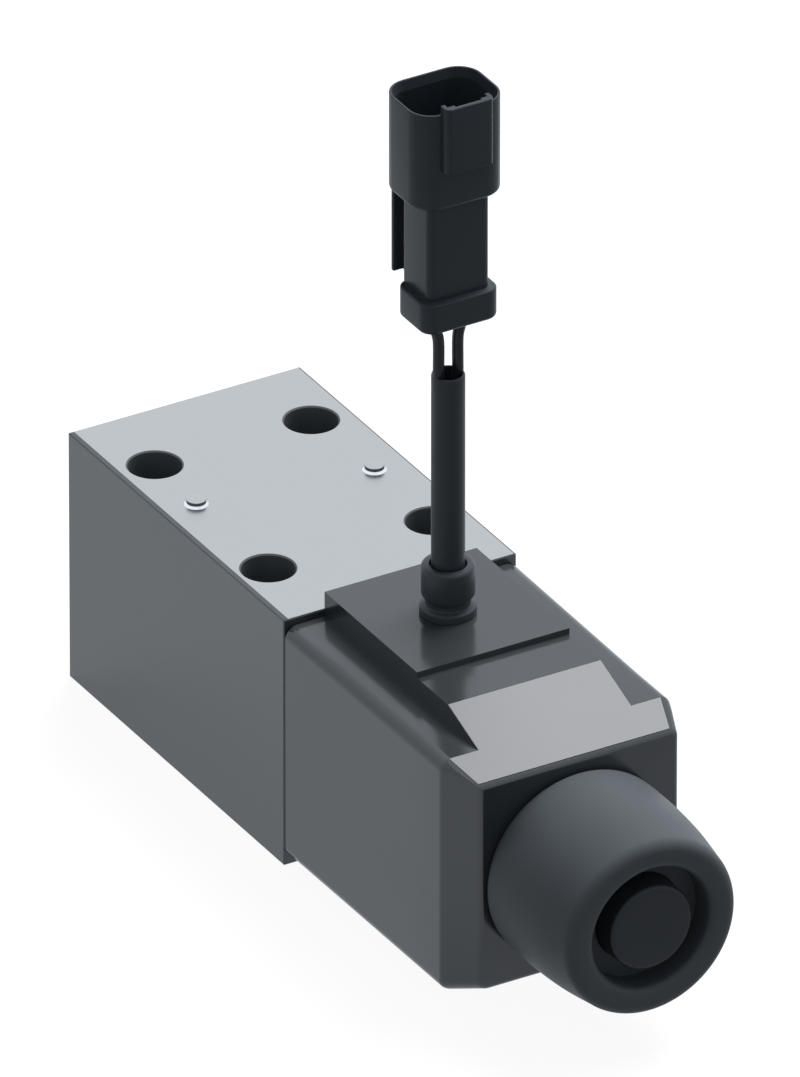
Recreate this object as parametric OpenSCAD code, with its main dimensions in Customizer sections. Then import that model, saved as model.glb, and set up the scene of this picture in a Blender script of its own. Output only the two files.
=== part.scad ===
// Solenoid directional control valve, size 6: one wet-armature solenoid, spring return,
// with a short moulded lead that ends in a two-pole receptacle.
// X runs along the spool towards the solenoid, Y across the valve and Z up.
// The origin is the centre of the four mounting holes on the mounting face.

/* [Valve body] */
// Length of the body along the spool axis
body_l = 74.5; // [72:0.5:90]
// Width of the body, and of the coil, whose sides run flush with it
body_w = 46; // [44:0.5:60]
// Height of the body above the mounting face
body_h = 48.5; // [42:0.5:60]
// Height of the spool axis above the mounting face
axis_h = 24.5; // [24:0.1:27]
// Bevel along the edges of the body
body_bevel = 0.2; // [0.1:0.1:1]

/* [Mounting pattern] */
// Distance between the two pairs of mounting holes
hole_span = 40.5; // [39:0.1:42]
// Distance across the pair at the plug end
plug_pair_w = 31; // [30.5:0.1:33]
// Distance across the pair at the coil end
coil_pair_w = 32.5; // [31.5:0.1:34]
// Clearance hole for a mounting screw
screw_hole_d = 5.5; // [5.2:0.1:5.8]
// Counterbore for the head of a mounting screw
screw_head_d = 9.5; // [9:0.1:9.8]
// Height of the seat under the screw head
screw_seat_h = 22; // [16:0.5:30]

/* [Ports] */
// Distance of ports P and T from the centre, along X
port_pt_x = 1.25; // [0:0.05:2.5]
// Distance of ports P and T from the centre, across
port_pt_y = 10.4; // [10.2:0.1:11]
// Distance from ports P and T to port A, along X
port_a_step = 8.8; // [8.6:0.1:9]
// Distance from ports P and T to port B, along X
port_b_step = 8.7; // [8.6:0.1:9]
// Diameter of a port at the mounting face
port_d = 7.5; // [6:0.1:8]
// Depth of the full-width part of a port
port_depth = 8; // [5:0.5:8.5]
// Diameter of the recess for a port seal
seal_recess_d = 12.4; // [12:0.1:12.6]
// Depth of the recess for a port seal
seal_recess_h = 1.52; // [1.3:0.02:1.8]
// Inner diameter of a port seal
port_seal_id = 9.25; // [8.6:0.05:9.3]

/* [Spool and galleries] */
// Diameter of the spool bore
spool_bore_d = 12; // [11:0.1:13]
// Radial clearance of the spool in its bore
spool_clearance = 0.03; // [0.02:0.01:0.05]
// Diameter of the five chambers round the spool
chamber_d = 17; // [15.5:0.1:17.4]
// Length of a chamber along the bore
chamber_l = 4.2; // [3.8:0.1:4.6]
// Distance from chamber P to each tank chamber
tank_step = 17.6; // [17.2:0.1:18]
// Diameter of the spool between its lands
spool_neck_d = 7; // [6:0.1:9]
// Travel of the spool
spool_travel = 3; // [2:0.1:3.2]
// Diameter of the drilled and cast passages
passage_d = 6; // [4.5:0.1:6]

/* [End plug and return spring] */
// Diameter of the plug's screwed part
plug_d = 20; // [18.5:0.1:20.4]
// Length of the plug
plug_l = 10.7; // [10:0.1:12]
// Across the flats of the plug's socket
plug_hex = 8; // [6:0.5:10]
// Thickness of the plug's closed end
plug_floor = 4; // [3.5:0.1:5]
// Outer diameter of the return spring
spring_d = 12; // [10:0.1:13]
// Thickness of the spring wire
spring_wire_d = 1.1; // [0.8:0.1:1.2]
// Number of turns of the return spring
spring_turns = 3.25; // [2:0.25:3.5]
// Diameter of the spring seat on the end of the spool
spring_seat_d = 14; // [12.5:0.1:14.4]

/* [Solenoid tube] */
// Diameter of the pole piece where it screws into the body
pole_thread_d = 22; // [20:0.1:22.4]
// Depth of the pole piece in the body
pole_thread_l = 12; // [10.5:0.1:12.5]
// Outer diameter of the armature tube
tube_d = 19; // [17:0.1:20]
// Wall of the armature tube
tube_wall = 1; // [0.7:0.1:1.2]
// Distance from the body to the pole face
pole_face_x = 23.2; // [20:0.1:30]
// Distance from the armature's stop to the coil's front face
armature_stop_l = 7.05; // [6:0.05:12]
// Radial clearance of the armature in its tube
armature_clearance = 0.07; // [0.04:0.01:0.1]
// Diameter of the push pin and of the override pin
pin_d = 4; // [3:0.1:5]
// Radial clearance of the pins in their guides
pin_clearance = 0.06; // [0.03:0.01:0.1]
// Length of the screwed end of the tube that holds the coil nut
tube_thread_l = 12; // [8:0.1:12.5]

/* [Coil housing] */
// Length of the coil from the body to its front face
coil_l = 59.75; // [56:0.25:70]
// Distance from the axis down to the underside
coil_below = 22.6; // [22.4:0.1:24]
// Distance from the axis up to the shoulders
coil_above = 22.7; // [22.4:0.1:25]
// Taper of each side over the length
coil_draft = 0.4; // [0:0.1:0.8]
// Gap between the body and the coil
coil_gap = 0.15; // [0.05:0.05:0.5]
// Radius of the long edges
coil_edge_r = 2.2; // [1:0.1:3]
// Length of the bevel on the front upright edges
corner_l = 7.05; // [3:0.05:8]
// Width of the bevel on the front upright edges
corner_w = 3.9; // [2:0.1:4.4]
// Width of the raised band along the top
band_w = 30; // [20:0.5:34]
// Height of the band above the shoulders
band_rise = 3.7; // [2:0.1:5]
// Length of the band before the sloping facet
band_l = 42.15; // [34:0.05:45]
// Slope of the facet at the front of the band, in degrees
facet_angle = 19.9; // [15:0.1:25]
// Length of the pad that carries the gland
pad_l = 31.55; // [26:0.05:33]
// Height of the pad above the band
pad_rise = 1.1; // [0.5:0.1:2]
// Bevel round the front face
nose_bevel = 0.75; // [0.3:0.05:1.5]
// Diameter of the space for the winding and its iron
coil_pack_d = 40.2; // [38:0.1:40.4]
// Thickness of the housing's end walls
coil_end_wall = 4.6; // [4:0.1:6]

/* [Coil pack] */
// Wall of the iron sleeve round the winding
yoke_wall = 1.8; // [1:0.1:2.5]
// Thickness of the iron end plates
flux_plate_l = 4; // [2:0.1:5]
// Wall of the bobbin
bobbin_wall = 1.2; // [0.8:0.1:1.6]
// Thickness of the bobbin's flanges
bobbin_flange_l = 2; // [1:0.1:3]
// Depth of the winding
winding_depth = 5.8; // [4:0.1:6]

/* [Nut, boot and override] */
// Across the flats of the coil nut
nut_hex = 27; // [24:0.5:27]
// Length of the coil nut
nut_l = 12.4; // [10:0.1:12.6]
// Widest diameter of the boot
boot_d = 36.4; // [36:0.1:38]
// Diameter of the boot at its front shoulder
boot_front_d = 33.4; // [32:0.1:35]
// Length of the boot
boot_l = 26.2; // [25.5:0.1:30]
// Diameter of the boot's front opening
boot_mouth_d = 22.9; // [21:0.1:24]
// Diameter of the override button
button_d = 16; // [13:0.1:17]
// Distance of the button's face behind the boot's lip
button_inset = 0.5; // [0.3:0.1:2]
// Thickness of the ledge that holds the button in
ledge_l = 2; // [1.5:0.1:2.5]

/* [Gland, lead and connector] */
// Distance of the gland from the body
gland_step = 16.3; // [14:0.1:20]
// Diameter of the gland's foot
gland_d = 9.9; // [8.5:0.1:12]
// Height of the gland above the pad
gland_h = 9.5; // [8:0.1:12]
// Diameter of the lead's jacket
jacket_d = 5.85; // [5:0.05:6]
// Diameter of one insulated core
core_d = 2; // [1.6:0.1:2.2]
// Length of the receptacle's shell across the poles
shell_w = 17.4; // [16.4:0.1:20]
// Depth of the receptacle's shell
shell_depth = 14.2; // [13:0.1:16]
// Height of the receptacle's shell
shell_h = 18.7; // [16:0.1:22]
// Wall of the receptacle's shell
shell_wall = 0.9; // [0.7:0.1:1.2]
// Distance between the two contact pins
contact_pitch = 4.8; // [4.2:0.1:5.4]
// Diameter of a contact pin
contact_d = 1.5; // [1:0.1:1.8]

/* [Hidden] */
$fn = 64;
eps = 0.01;
fit_gap = 0.05;

// Stations along X
end_x = body_l / 2;
plug_face_x = -end_x + 0.3;
plug_inner_x = plug_face_x + plug_l;
spring_floor_x = plug_face_x + plug_floor;
spool_left_x = plug_inner_x + 2.75;
pole_back_x = end_x - pole_thread_l;
spool_right_x = pole_back_x + 1.75;
spring_bore_x = spool_left_x + 1.05;
air_gap = 0.5;
seat_l = 2;
chamber_a_x = port_pt_x - port_a_step;
chamber_b_x = port_pt_x + port_b_step;
tank_left_x = port_pt_x - tank_step;
tank_right_x = port_pt_x + tank_step;
pole_x = end_x + pole_face_x;
armature_x = pole_x + spool_travel + air_gap;
armature_end_x = end_x + coil_l - armature_stop_l;
coil_x = end_x + coil_gap;
coil_end_x = end_x + coil_l;
thread_end_x = coil_end_x + tube_thread_l;
boot_end_x = coil_end_x + boot_l;
button_face_x = boot_end_x - button_inset;

// Tubes, bores and seals
spool_r = spool_bore_d / 2 - spool_clearance;
chamber_r = chamber_d / 2;
plug_pocket_r = spring_seat_d / 2 + 0.5;
spring_bore_r = plug_pocket_r + 0.5;
tube_r = tube_d / 2;
tube_bore_r = tube_r - tube_wall;
pin_r = pin_d / 2;
pin_bore_r = pin_r + pin_clearance;
thread_seal_d = 2;
groove_half = 1.1;
pole_groove_step = 4.6;
plug_groove_x = plug_face_x + 4.5;

// Lands: how far a control land laps over its bore, its length, and how far an end land
// stands off the middle of its tank chamber
land_overlap = 0.85;
land_l = 3.4;
end_land_step = 1.2;

// Coil housing
coil_w = body_w;
coil_bottom_z = axis_h - coil_below;
shoulder_z = axis_h + coil_above;
band_z = shoulder_z + band_rise;
pad_z = band_z + pad_rise;
facet_x = end_x + band_l;
facet_end_x = facet_x + band_rise / tan(facet_angle);
nose_z = facet_z(coil_end_x - nose_bevel);
rear_bevel = 0.4;
pack_r = coil_pack_d / 2;
pack_x = coil_x + coil_end_wall;
pack_end_x = coil_end_x - coil_end_wall;
coil_bore_r = tube_r + 0.1;
bobbin_r = coil_bore_r + bobbin_wall;
bobbin_flange_r = bobbin_r + winding_depth + 0.7;
face_seal_r = 12.2;
face_seal_d = 1.8;

// Boot and button: the boot's foot, straight wall, taper and waist end at these lengths, and
// the two rounds of its lip share the wall between the front and the mouth
boot_foot_l = 1.9;
boot_straight_l = 11.5;
boot_taper_l = 16.5;
boot_waist_l = 20.3;
boot_wall = (boot_front_d - boot_mouth_d) / 2;
shoulder_l = min(2.6, 0.5 * boot_wall);
lip_r = min(1.6, 0.31 * boot_wall);
nut_r = nut_hex / 2 / cos(30);
boot_r = boot_d / 2;
boot_pocket_r = nut_r + 0.3;
mouth_r = boot_mouth_d / 2;
button_r = button_d / 2;
button_rim_r = button_r + 1.4;
button_back_x = thread_end_x + 1 + spool_travel;
ledge_x = button_back_x + 2.5;

// Lead: the points that its jacket and the core on the far side follow
gland_x = end_x + gland_step;
gland_top_z = pad_z + gland_h;
jacket_route = [[53.55, 0, 57], [53.55, 0, 70], [53.55, 0, 84], [53.55, 0, 98.7]];
core_route = [
    [53.55, 1.9, 98.7], [53.55, 1.9, 105.2], [53.55, 2.4, 107.8], [53.55, 2.4, 110.4]
];
jacket_seat_z = jacket_route[0][2];

// Receptacle, from its rear flange upwards; the neck and the shell stand off the lead's axis,
// towards the clip rail
con_x = jacket_route[0][0];
neck_x = con_x - 0.8;
shell_x = con_x - 1.3;
seal_gap = 0.3;
flange_z = core_route[len(core_route) - 1][2] - seal_gap;
flange_h = 5.8;
flange_w = 14.8;
flange_depth = 10.8;
neck_h = 18.4;
neck_w = 12;
neck_depth = 9.6;
neck_z = flange_z + flange_h;
shell_z = neck_z + neck_h;
rim_z = shell_z + shell_h;
shell_r = 4.5;
socket_z = shell_z + 3;
wedge_h = 3;
seal_h = 2.7;
seal_w = 10.4;
seal_depth = 6.4;
cover_w = 10.8;
cover_l = 14;
cover_rise = 1.7;
cover_step = 1.2;
contact_root_l = 6;
contact_l = 16.8;
contact_tip_l = 1.4;

// Functions and shared shapes

// Height of the sloping facet at a station along X
function facet_z(x) = band_z - (x - facet_x) * tan(facet_angle);

// Unit vector
function unit(v) = v / norm(v);

// Direction of a route at point i
function heading(route, i) =
    unit(route[min(i + 1, len(route) - 1)] - route[max(i - 1, 0)]);

// Points of one ring of a tube that follows a route
function ring(route, i, r, sides) =
    let (t = heading(route, i), a = unit(cross(t, [1, 0, 0])), b = cross(t, a))
    [for (k = [0 : sides - 1])
        route[i] + r * (cos(360 * k / sides) * a + sin(360 * k / sides) * b)];

// Closed tube with flat ends along a route that never runs along X
module swept_tube(route, r, sides = 8) {
    last = (len(route) - 1) * sides;
    points = [for (i = [0 : len(route) - 1]) each ring(route, i, r, sides)];
    walls = [for (i = [0 : len(route) - 2], k = [0 : sides - 1])
        let (m = i * sides, j = (k + 1) % sides)
        each [[m + k, m + sides + k, m + sides + j], [m + k, m + sides + j, m + j]]];
    ends = [[for (k = [0 : sides - 1]) k], [for (k = [sides - 1 : -1 : 0]) last + k]];
    polyhedron(points, concat(walls, ends));
}

// Cylinder on the spool axis
module shaft(x0, x1, r) {
    translate([x0, 0, axis_h]) rotate([0, 90, 0]) cylinder(h = x1 - x0, r = r);
}

// Revolved piece on the spool axis, from points [radius, x]
module turned(points) {
    translate([0, 0, axis_h]) rotate([0, 90, 0]) rotate_extrude() polygon(points);
}

// Ring of round section on the spool axis
module seal_ring(x, r, d) {
    translate([x, 0, axis_h]) rotate([0, 90, 0])
        rotate_extrude() translate([r, 0]) circle(d = d, $fn = 24);
}

// Hexagonal prism on the spool axis, flats up and down
module hex_prism(x0, x1, across) {
    translate([x0, 0, axis_h]) rotate([0, 90, 0])
        rotate([0, 0, 30]) cylinder(h = x1 - x0, d = across / cos(30), $fn = 6);
}

// Rectangle with bevelled corners, centred
module bevelled_rect(w, h, b) {
    polygon([
        [-w / 2 + b, -h / 2], [w / 2 - b, -h / 2], [w / 2, -h / 2 + b], [w / 2, h / 2 - b],
        [w / 2 - b, h / 2], [-w / 2 + b, h / 2], [-w / 2, h / 2 - b], [-w / 2, -h / 2 + b]
    ]);
}

// Rectangle with round corners, centred
module round_rect(w, h, r) {
    square([w - 2 * r, h], center = true);
    square([w, h - 2 * r], center = true);
    for (x = [-1, 1], y = [-1, 1])
        translate([x * (w / 2 - r), y * (h / 2 - r)]) circle(r = r, $fn = 32);
}

// Box with bevelled edges that stands on z = 0
module bevelled_box(l, w, h, b) {
    intersection() {
        linear_extrude(h) bevelled_rect(l, w, b);
        translate([0, w / 2, h / 2]) rotate([90, 0, 0]) linear_extrude(w) bevelled_rect(l, h, b);
        translate([-l / 2, 0, h / 2]) rotate([90, 0, 90]) linear_extrude(l) bevelled_rect(w, h, b);
    }
}

// The four mounting hole places
module at_screws() {
    for (y = [-1, 1]) {
        translate([-hole_span / 2, y * plug_pair_w / 2, 0]) children();
        translate([hole_span / 2, y * coil_pair_w / 2, 0]) children();
    }
}

// The four ports, in the order P, T, A, B
port_places = [
    [port_pt_x, -port_pt_y, 0], [port_pt_x, port_pt_y, 0], [chamber_a_x, 0, 0], [chamber_b_x, 0, 0]
];

// Valve body

rivet_places = [[-5, -16, body_h], [0, 16.4, body_h]];
rivet_shank_r = 1.2;
rivet_shank_l = 3.5;
rivet_head_d = 4.3;
rivet_head_h = 0.85;
rivet_bevel = 0.15;
tank_core_y = 8.4;
tank_core_z = 12;
riser_y = 6;
pressure_y = 9;

// Bores along the spool axis: plug, spring chamber, spool bore, five chambers, pole piece
module axial_bores() {
    shaft(-end_x - eps, plug_inner_x + fit_gap, plug_d / 2);
    shaft(plug_inner_x, spring_bore_x, spring_bore_r);
    shaft(spring_bore_x - eps, pole_back_x + eps, spool_bore_d / 2);
    shaft(pole_back_x, end_x + eps, pole_thread_d / 2);
    for (x = [tank_left_x, chamber_a_x, port_pt_x, chamber_b_x, tank_right_x])
        shaft(x - chamber_l / 2, x + chamber_l / 2, chamber_r);
}

// Ports with their seal recesses, and the passages from them to the chambers
module port_bores() {
    for (p = port_places) translate(p) {
        translate([0, 0, -eps]) cylinder(h = seal_recess_h + eps, d = seal_recess_d);
        cylinder(h = port_depth, d = port_d);
    }
    translate([port_pt_x, -pressure_y, port_depth - eps])
        cylinder(h = axis_h - port_depth, d = passage_d);
    for (x = [chamber_a_x, chamber_b_x])
        translate([x, 0, port_depth - eps])
            cylinder(h = axis_h - port_depth - spool_bore_d / 2, d = passage_d);
    translate([port_pt_x, port_pt_y - 1, port_depth - eps])
        cylinder(h = tank_core_z - port_depth, d = passage_d);
    translate([tank_left_x, tank_core_y, tank_core_z]) rotate([0, 90, 0])
        cylinder(h = tank_right_x - tank_left_x, d = passage_d);
    for (x = [tank_left_x, tank_right_x])
        translate([x, riser_y, tank_core_z]) cylinder(h = 8, d = chamber_l);
}

module screw_bores() {
    at_screws() {
        translate([0, 0, -eps]) cylinder(h = body_h + 1, d = screw_hole_d);
        translate([0, 0, screw_seat_h]) cylinder(h = body_h, d = screw_head_d);
        translate([0, 0, body_h - 0.3])
            cylinder(h = 0.3 + eps, d1 = screw_head_d, d2 = screw_head_d + 0.6);
    }
}

module valve_body() {
    color("#8d9195") difference() {
        bevelled_box(body_l, body_w, body_h, body_bevel);
        axial_bores();
        port_bores();
        screw_bores();
        for (p = rivet_places) translate(p - [0, 0, rivet_shank_l + 0.5])
            cylinder(h = rivet_shank_l + 1, r = rivet_shank_r);
    }
}

module port_seals() {
    section = seal_recess_h - 0.04;
    color("#1c1d1f") for (p = port_places) translate(p + [0, 0, section / 2 + 0.01])
        rotate_extrude() translate([port_seal_id / 2 + section / 2, 0])
            circle(d = section, $fn = 24);
}

// Two grooved studs that hold the type plate when there is one
module plate_rivets() {
    color("#b9bdc1") for (p = rivet_places) translate(p) {
        translate([0, 0, -rivet_shank_l])
            cylinder(h = rivet_shank_l + rivet_bevel, r = rivet_shank_r - 0.02);
        cylinder(h = rivet_head_h - rivet_bevel, d = rivet_head_d);
        translate([0, 0, rivet_head_h - rivet_bevel])
            cylinder(h = rivet_bevel, d1 = rivet_head_d, d2 = rivet_head_d - 2 * rivet_bevel);
    }
}

// Plug, spring and spool

module end_plug() {
    groove_r = plug_d / 2 - thread_seal_d + 0.05;
    color("#6f7377") difference() {
        turned([
            [0, plug_face_x], [plug_d / 2 - 0.8, plug_face_x],
            [plug_d / 2 - fit_gap, plug_face_x + 0.8],
            [plug_d / 2 - fit_gap, plug_inner_x], [plug_pocket_r, plug_inner_x],
            [plug_pocket_r, spring_floor_x], [0, spring_floor_x]
        ]);
        hex_prism(plug_face_x - eps, plug_face_x + plug_floor - 1.2, plug_hex);
        turned([
            [groove_r, plug_groove_x - groove_half], [plug_d / 2, plug_groove_x - groove_half],
            [plug_d / 2, plug_groove_x + groove_half], [groove_r, plug_groove_x + groove_half]
        ]);
    }
}

module end_plug_seal() {
    color("#1c1d1f")
        seal_ring(plug_groove_x, plug_d / 2 - thread_seal_d / 2, thread_seal_d - 0.1);
}

// Wound from the plug's floor to the spring seat
module return_spring() {
    wire_r = spring_wire_d / 2;
    coil_r = spring_d / 2 - wire_r;
    x0 = spring_floor_x + wire_r + 0.05;
    x1 = spool_left_x - seat_l - wire_r - 0.05;
    steps = round(spring_turns * 16);
    route = [for (i = [0 : steps])
        let (a = 360 * spring_turns * i / steps)
        [x0 + (x1 - x0) * i / steps, coil_r * cos(a), axis_h + coil_r * sin(a)]];
    color("#9fa3a6") swept_tube(route, wire_r);
}

module spring_seat() {
    color("#8a8e91") difference() {
        union() {
            shaft(spool_left_x - seat_l, spool_left_x - 0.02, spring_seat_d / 2);
            shaft(spool_left_x - seat_l - 1.2, spool_left_x - seat_l + eps, spring_d / 2 - 1.6);
        }
        shaft(spool_left_x - 4, spool_left_x, 1.5);
    }
}

// Four lands on one stem: two end lands that guide, two that open ports A and B
module spool() {
    edge_a = chamber_a_x + chamber_l / 2 + land_overlap;
    edge_b = chamber_b_x + chamber_l / 2 + land_overlap;
    color("#b4b7ba") difference() {
        union() {
            shaft(spool_left_x, spool_right_x, spool_neck_d / 2);
            shaft(spool_left_x, tank_left_x - end_land_step, spool_r);
            shaft(edge_a - land_l, edge_a, spool_r);
            shaft(edge_b - land_l, edge_b, spool_r);
            shaft(tank_right_x + end_land_step, spool_right_x, spool_r);
        }
        for (x = [edge_a - land_l / 2, edge_b - land_l / 2])
            turned([
                [spool_r - 0.4, x - 0.25], [spool_r + 1, x - 0.25],
                [spool_r + 1, x + 0.25], [spool_r - 0.4, x + 0.25]
            ]);
        shaft(spool_left_x - eps, spool_left_x + 4, 1.5);
    }
}

module push_pin() {
    color("#c2c4c6") shaft(spool_right_x + 0.02, armature_x - 0.02, pin_r);
}

// Solenoid tube

// Iron core: screws into the body and carries the tube; its front attracts the armature
module pole_piece() {
    spool_pocket_r = spool_bore_d / 2 + 0.6;
    thread_r = pole_thread_d / 2 - fit_gap;
    groove_x = end_x - pole_groove_step;
    groove_r = thread_r - thread_seal_d + 0.1;
    spool_room = 2.5;
    cone_depth = 2.4;
    color("#7f8386") turned([
        [pin_bore_r, pole_back_x + spool_room], [spool_pocket_r, pole_back_x + spool_room],
        [spool_pocket_r, pole_back_x + fit_gap], [thread_r, pole_back_x + fit_gap],
        [thread_r, groove_x - groove_half], [groove_r, groove_x - groove_half],
        [groove_r, groove_x + groove_half], [thread_r, groove_x + groove_half],
        [thread_r, end_x], [tube_bore_r - fit_gap, end_x],
        [tube_bore_r - fit_gap, pole_x], [tube_bore_r - 2.2, pole_x],
        [tube_bore_r - 3.2, pole_x - cone_depth], [pin_bore_r, pole_x - cone_depth]
    ]);
}

module pole_seal() {
    color("#1c1d1f")
        seal_ring(end_x - pole_groove_step, pole_thread_d / 2 - thread_seal_d / 2, thread_seal_d - 0.1);
}

module armature_tube() {
    color("#a7aaad") turned([
        [tube_bore_r, end_x + fit_gap], [tube_r, end_x + fit_gap],
        [tube_r, coil_end_x], [tube_bore_r, coil_end_x]
    ]);
}

// Iron plunger with two oil passages
module armature() {
    color("#85898c") difference() {
        shaft(armature_x, armature_end_x, tube_bore_r - armature_clearance);
        for (y = [-1, 1]) translate([0, y * tube_bore_r * 0.6, 0])
            shaft(armature_x - eps, armature_end_x + eps, 1.1);
    }
}

// Closes the tube, stops the armature, guides the override pin and carries the nut
module tube_end() {
    color("#989b9e") turned([
        [pin_bore_r, armature_end_x + fit_gap], [tube_bore_r - fit_gap, armature_end_x + fit_gap],
        [tube_bore_r - fit_gap, coil_end_x + fit_gap], [tube_r, coil_end_x + fit_gap],
        [tube_r, thread_end_x - 0.6], [tube_r - 0.6, thread_end_x],
        [pin_r + 2, thread_end_x], [pin_r + 2, thread_end_x - 2.1],
        [pin_bore_r, thread_end_x - 2.1]
    ]);
}

module override_pin() {
    color("#c2c4c6") shaft(armature_end_x + 0.02, button_back_x - 0.02, pin_r);
}

module override_pin_seal() {
    color("#1c1d1f") seal_ring(thread_end_x - 1.05, pin_r + 0.98, 1.8);
}

// Coil

// Outline from above: slightly tapered, with long bevels on the front upright edges
module coil_outline(inset) {
    half = coil_w / 2 - inset;
    front = half - coil_draft;
    polygon([
        [coil_x + rear_bevel + inset / 2, -half], [coil_end_x - corner_l - inset / 3, -front],
        [coil_end_x, -front + corner_w], [coil_end_x, front - corner_w],
        [coil_end_x - corner_l - inset / 3, front], [coil_x + rear_bevel + inset / 2, half],
        [coil_x + inset / 2, half - rear_bevel], [coil_x + inset / 2, -half + rear_bevel]
    ]);
}

// Moulded block with its long edges rounded in steps
module coil_block() {
    plate = 0.02;
    hull() for (a = [0 : 22.5 : 90]) {
        inset = coil_edge_r * (1 - cos(a));
        rise = coil_edge_r * (1 - sin(a));
        translate([0, 0, shoulder_z - rise - plate]) linear_extrude(plate) coil_outline(inset);
        translate([0, 0, coil_bottom_z + rise]) linear_extrude(plate) coil_outline(inset);
    }
}

// Side view of the block: sloping facet, bevelled nose, and an underside that rises at the
// facet's angle along the front bevels
module coil_side() {
    polygon([
        [coil_x - 1, coil_bottom_z], [coil_end_x - corner_l, coil_bottom_z],
        [coil_end_x, coil_bottom_z + corner_l * tan(facet_angle)],
        [coil_end_x, nose_z - 1.2 * nose_bevel],
        [coil_end_x - nose_bevel, nose_z], [facet_end_x, shoulder_z], [coil_x - 1, shoulder_z]
    ]);
}

module band_side() {
    polygon([
        [coil_x, axis_h], [coil_end_x, axis_h], [coil_end_x, nose_z - 1.2 * nose_bevel],
        [coil_end_x - nose_bevel, nose_z], [facet_x, band_z], [coil_x, band_z]
    ]);
}

module side_extrusion(w) {
    translate([0, w / 2, 0]) rotate([90, 0, 0]) linear_extrude(w) children();
}

module coil_housing() {
    color("#54585c") difference() {
        union() {
            intersection() {
                coil_block();
                side_extrusion(coil_w + 2) coil_side();
            }
            side_extrusion(band_w) band_side();
            translate([coil_x, -band_w / 2, band_z - 1]) cube([pad_l, band_w, pad_rise + 1]);
        }
        shaft(coil_x - 1, coil_end_x + 1, coil_bore_r);
        shaft(pack_x, pack_end_x, pack_r);
        for (x = [coil_x - eps, coil_end_x - face_seal_d])
            turned([
                [face_seal_r - 1, x], [face_seal_r + 1, x],
                [face_seal_r + 1, x + face_seal_d + eps], [face_seal_r - 1, x + face_seal_d + eps]
            ]);
        translate([gland_x, 0, pad_z - 3]) cylinder(h = 4, r = gland_d / 2 - 1.5);
    }
}

module coil_yoke() {
    color("#6b6e71") turned([
        [pack_r - 0.1 - yoke_wall, pack_x + fit_gap], [pack_r - 0.1, pack_x + fit_gap],
        [pack_r - 0.1, pack_end_x - fit_gap], [pack_r - 0.1 - yoke_wall, pack_end_x - fit_gap]
    ]);
}

module flux_plate(x) {
    color("#6b6e71") turned([
        [coil_bore_r, x], [pack_r - yoke_wall - 0.15, x],
        [pack_r - yoke_wall - 0.15, x + flux_plate_l], [coil_bore_r, x + flux_plate_l]
    ]);
}

module rear_flux_plate() {
    flux_plate(pack_x + fit_gap);
}

module front_flux_plate() {
    flux_plate(pack_end_x - fit_gap - flux_plate_l);
}

module coil_bobbin() {
    x0 = pack_x + flux_plate_l + 2 * fit_gap;
    x1 = pack_end_x - flux_plate_l - 2 * fit_gap;
    color("#2e3134") turned([
        [coil_bore_r + fit_gap, x0], [bobbin_flange_r, x0], [bobbin_flange_r, x0 + bobbin_flange_l],
        [bobbin_r, x0 + bobbin_flange_l], [bobbin_r, x1 - bobbin_flange_l],
        [bobbin_flange_r, x1 - bobbin_flange_l], [bobbin_flange_r, x1], [coil_bore_r + fit_gap, x1]
    ]);
}

module coil_winding() {
    x0 = pack_x + flux_plate_l + bobbin_flange_l + 3 * fit_gap;
    x1 = pack_end_x - flux_plate_l - bobbin_flange_l - 3 * fit_gap;
    color("#b06b3a") turned([
        [bobbin_r + fit_gap, x0], [bobbin_r + winding_depth, x0],
        [bobbin_r + winding_depth, x1], [bobbin_r + fit_gap, x1]
    ]);
}

module coil_rear_seal() {
    color("#1c1d1f") seal_ring(coil_x + face_seal_d / 2, face_seal_r, face_seal_d - 0.04);
}

module coil_front_seal() {
    color("#1c1d1f") seal_ring(coil_end_x - face_seal_d / 2, face_seal_r, face_seal_d - 0.04);
}

// Nut, boot and override button

module coil_nut() {
    nut_x = coil_end_x + fit_gap;
    color("#8a8e91") difference() {
        intersection() {
            hex_prism(nut_x, nut_x + nut_l, nut_hex);
            turned([
                [0, nut_x], [nut_r - 1, nut_x], [nut_r, nut_x + 0.8],
                [nut_r, nut_x + nut_l - 0.8], [nut_r - 1, nut_x + nut_l], [0, nut_x + nut_l]
            ]);
        }
        shaft(nut_x - 1, nut_x + nut_l + 1, tube_r + fit_gap);
    }
}

// Half of the boot's section: waist, tapering wall, round lip, mouth, ledge and nut pocket
module nut_boot() {
    shoulder_x = boot_end_x - shoulder_l;
    front_r = boot_front_d / 2;
    pocket_end_x = coil_end_x + nut_l + 0.35;
    color("#2f3337") turned(concat(
        [
            [boot_pocket_r, coil_end_x + fit_gap], [boot_r - 0.9, coil_end_x + fit_gap],
            [boot_r - 0.3, coil_end_x + 0.7], [boot_r, coil_end_x + boot_foot_l],
            [boot_r, coil_end_x + boot_straight_l], [boot_r - 0.4, coil_end_x + boot_taper_l],
            [boot_r - 1, coil_end_x + boot_waist_l]
        ],
        boot_lip(front_r, shoulder_x),
        [
            [mouth_r, ledge_x + ledge_l], [button_r + 0.2, ledge_x + ledge_l],
            [button_r + 0.2, ledge_x], [button_rim_r + 0.4, ledge_x],
            [button_rim_r + 0.4, pocket_end_x], [boot_pocket_r, pocket_end_x]
        ]
    ));
}

// Front of the boot: an outer round from the wall and a smaller one into the mouth
function boot_lip(front_r, shoulder_x) = concat(
    [for (a = [0 : 15 : 90])
        [front_r - shoulder_l + shoulder_l * cos(a), shoulder_x + shoulder_l * sin(a)]],
    [for (a = [90 : 18 : 180])
        [mouth_r + lip_r + lip_r * cos(a), boot_end_x - lip_r + lip_r * sin(a)]]
);

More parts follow.
